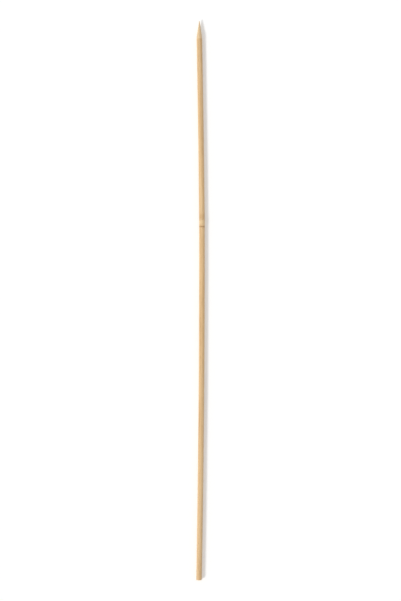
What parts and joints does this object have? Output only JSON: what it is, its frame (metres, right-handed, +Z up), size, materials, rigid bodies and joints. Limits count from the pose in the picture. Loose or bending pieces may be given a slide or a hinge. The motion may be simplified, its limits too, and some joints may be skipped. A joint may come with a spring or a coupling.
{
  "type": "bamboo skewer",
  "caption": "Thin round rod of split bamboo, ground to a point at one end and sawn flat at the other, with one bamboo ring across it.",
  "frame": {"origin": "on the table that the skewer lies on, under the middle of its bounding box", "axes": "+Y along the skewer towards its point, +Z up from the table, +X to the right as seen from above with the point away from the viewer"},
  "size_m": [0.0062, 0.4, 0.004],
  "materials": {
    "bamboo": "planed and tumbled bare bamboo, satin, with fine brown fibres along it"
  },
  "bodies": {
    "root": {"skewer": "bamboo"}
  },
  "joints": []
}
